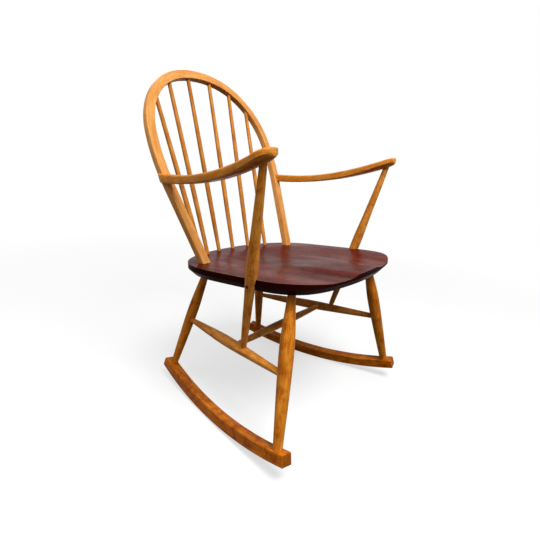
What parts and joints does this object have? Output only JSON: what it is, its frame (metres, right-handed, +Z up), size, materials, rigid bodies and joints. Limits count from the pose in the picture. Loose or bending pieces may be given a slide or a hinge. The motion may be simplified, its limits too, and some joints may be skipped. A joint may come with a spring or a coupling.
{
  "type": "rocking chair",
  "caption": "Wooden rocking chair with a bent hoop back, slim spindles, a saddled seat, open arms on raked posts and splayed turned legs on canted rockers.",
  "frame": {"origin": "on the floor midway between the rockers, where they bear on it at rest", "axes": "+Z up, -Y the way the sitter faces, +X to the sitter's left"},
  "size_m": [0.6082, 0.6249, 0.8493],
  "materials": {
    "beech": "satin lacquer, honey brown",
    "elm": "gloss lacquer, dark red brown",
    "plug_wood": "satin lacquer, dark",
    "screw_steel": "plain steel"
  },
  "bodies": {
    "root": {"arm_left": "beech", "arm_post_left": "beech", "arm_post_right": "beech", "arm_right": "beech", "arm_screws": "screw_steel", "cross_stretcher": "beech", "hoop": "beech", "leg_front_left": "beech", "leg_front_right": "beech", "leg_rear_left": "beech", "leg_rear_right": "beech", "post_plugs": "plug_wood", "post_screws": "screw_steel", "rocker_left": "beech", "rocker_right": "beech", "seat": "elm", "side_stretcher_left": "beech", "side_stretcher_right": "beech", "spindle_1": "beech", "spindle_2": "beech", "spindle_3": "beech", "spindle_4": "beech", "spindle_5": "beech", "spindle_6": "beech"}
  },
  "joints": []
}
